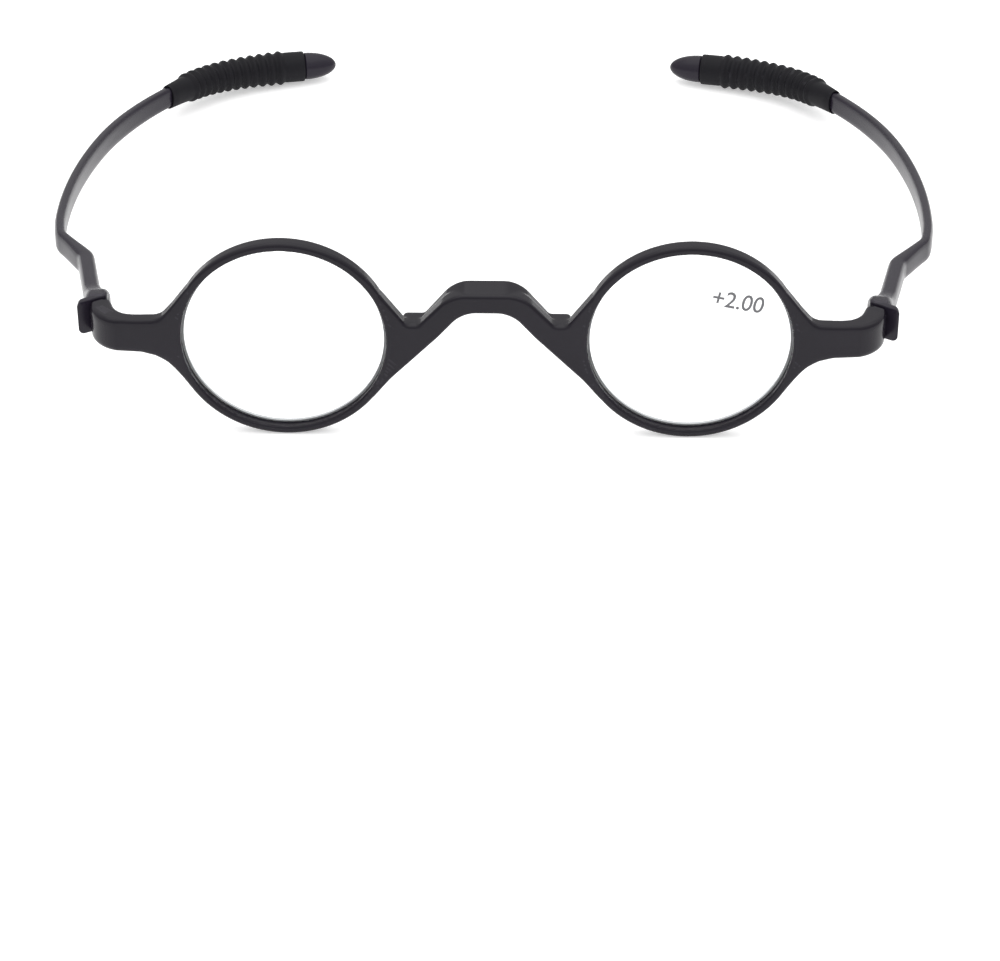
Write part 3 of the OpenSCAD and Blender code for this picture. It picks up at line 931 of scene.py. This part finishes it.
def sleeve():
    rings = [(SLEEVE_START + 0.05, 2.6, 4.4), (SLEEVE_START, 2.75, 4.5),
             (SLEEVE_START + 0.1, 2.95, 4.6), (SLEEVE_START + 1.8, 3.4, 4.65),
             (SLEEVE_START + 3.6, 3.9, 4.7), (SLEEVE_START + 5, 4.5, 4.75)]
    steps = 10
    for i in range(RIB_COUNT * steps + 1):
        s = RIBS_START + i * RIB_PITCH / steps
        rings.append((s, 2 * sleeve_radius(s), 2 * sleeve_radius(s)))
    band = [(RIBS_END + 0.4, BAND_WIDTH), (RIBS_END + 1, BAND_WIDTH),
            (SLEEVE_END - 0.35, BAND_WIDTH), (SLEEVE_END - 0.1, BAND_WIDTH - 0.1),
            (SLEEVE_END, BAND_WIDTH - 0.4)]
    rings += [(s, width, width) for s, width in band]
    outer = swept(48, [on_path(s, w, h) for s, w, h in rings])
    lining = [on_path(s, *LINING_MOUTH) for s in (SLEEVE_START - 1, SLEEVE_START + 1.4)]
    lining += [on_path(SLEEVE_START + 1.45 + 2.3 * i, *LINING_CORE) for i in range(15)]
    return combined(outer, swept(5, lining, corner=LINING_ROUNDING), "DIFFERENCE")


grip = sleeve()
for side, bm in (("right", mirrored(grip)), ("left", grip)):
    finish_piece(bm, f"grip_sleeve_{side}", f"temple_{side}", f"tip_sleeve_{side}",
                 grip_rubber, smooth_angle=50)

# %% [markdown]
# ## The hinges
#
# The steel fork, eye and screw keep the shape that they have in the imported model. They only get
# their finish: turned and tumbled steel.

# %% Hinge finish
for name, node in frame["nodes"].items():
    if name.startswith("hinge_"):
        node.data.materials.clear()
        node.data.materials.append(hinge_steel)
print("hinge nodes finished")

# %% [markdown]
# ## Studio
#
# Small dark goods are shown on a white sweep under one large soft lamp. The sweep is a lit table,
# which lifts the shadows. The room is brightest overhead and dimmer towards its walls, so that
# glossy faces mirror a slow change of tone.

# %% Floor
TABLE_GLOW = 0.4
floor_mesh = bpy.data.meshes.new("floor")
floor_bm = bmesh.new()
bmesh.ops.create_grid(floor_bm, x_segments=1, y_segments=1, size=3)
floor_bm.to_mesh(floor_mesh)
floor_bm.free()
floor = bpy.data.objects.new("floor", floor_mesh)
bpy.context.scene.collection.objects.link(floor)
floor_mat = bpy.data.materials.new("white_sweep")
floor_mat.use_nodes = True
floor_shader = floor_mat.node_tree.nodes["Principled BSDF"]
floor_shader.inputs["Base Color"].default_value = (0.9, 0.9, 0.9, 1)
floor_shader.inputs["Roughness"].default_value = 0.8
floor_shader.inputs["Emission Color"].default_value = (1, 1, 1, 1)
floor_shader.inputs["Emission Strength"].default_value = TABLE_GLOW
floor_mesh.materials.append(floor_mat)


# %% Lamp and world
WALL_STRENGTH = 0.55
CEILING_STRENGTH = 1.35


def softbox(name, at, size, watts):
    light = bpy.data.lights.new(name, "AREA")
    light.shape = "SQUARE"
    light.size = size
    light.energy = watts
    obj = bpy.data.objects.new(name, light)
    obj.location = at
    obj.rotation_euler = (-Vector(at)).to_track_quat("-Z", "Y").to_euler()
    bpy.context.scene.collection.objects.link(obj)


softbox("top_softbox", at=(0.05, 0.1, 1.2), size=1.6, watts=5)
world = bpy.data.worlds.new("white_room")
world.use_nodes = True
sky = world.node_tree
sky_split = sky.nodes.new("ShaderNodeSeparateXYZ")
sky.links.new(sky.nodes.new("ShaderNodeTexCoord").outputs["Generated"], sky_split.inputs[0])
sky_rise = between(sky, sky_split.outputs["Z"], WALL_STRENGTH, CEILING_STRENGTH)
sky.links.new(sky_rise, sky.nodes["Background"].inputs["Strength"])
sky.nodes["Background"].inputs["Color"].default_value = (1, 1, 1, 1)
bpy.context.scene.world = world
bpy.context.scene.view_settings.view_transform = "Standard"

# %% [markdown]
# ## Camera
#
# The camera stands half a metre in front, looking 34 degrees down, with a long lens that keeps
# the rims nearly as round as they are.

# %% Camera
CAMERA_AT = Vector((0.0121, -0.5051, 0.2918))
AZIMUTH = math.radians(1.3)
ELEVATION = math.radians(34.17)
ROLL = math.radians(-0.16)
FOCAL_LENGTH = 119.17
camera_data = bpy.data.cameras.new("camera")
camera_data.lens = FOCAL_LENGTH
camera_data.sensor_width = 36
camera = bpy.data.objects.new("camera", camera_data)
backwards = Vector((math.sin(AZIMUTH) * math.cos(ELEVATION),
                    -math.cos(AZIMUTH) * math.cos(ELEVATION), math.sin(ELEVATION)))
camera.rotation_mode = "QUATERNION"
camera.rotation_quaternion = backwards.to_track_quat("Z", "Y") @ Matrix.Rotation(
    ROLL, 3, "Z").to_quaternion()
camera.location = CAMERA_AT
bpy.context.scene.collection.objects.link(camera)
bpy.context.scene.camera = camera
print("camera at", list(CAMERA_AT))
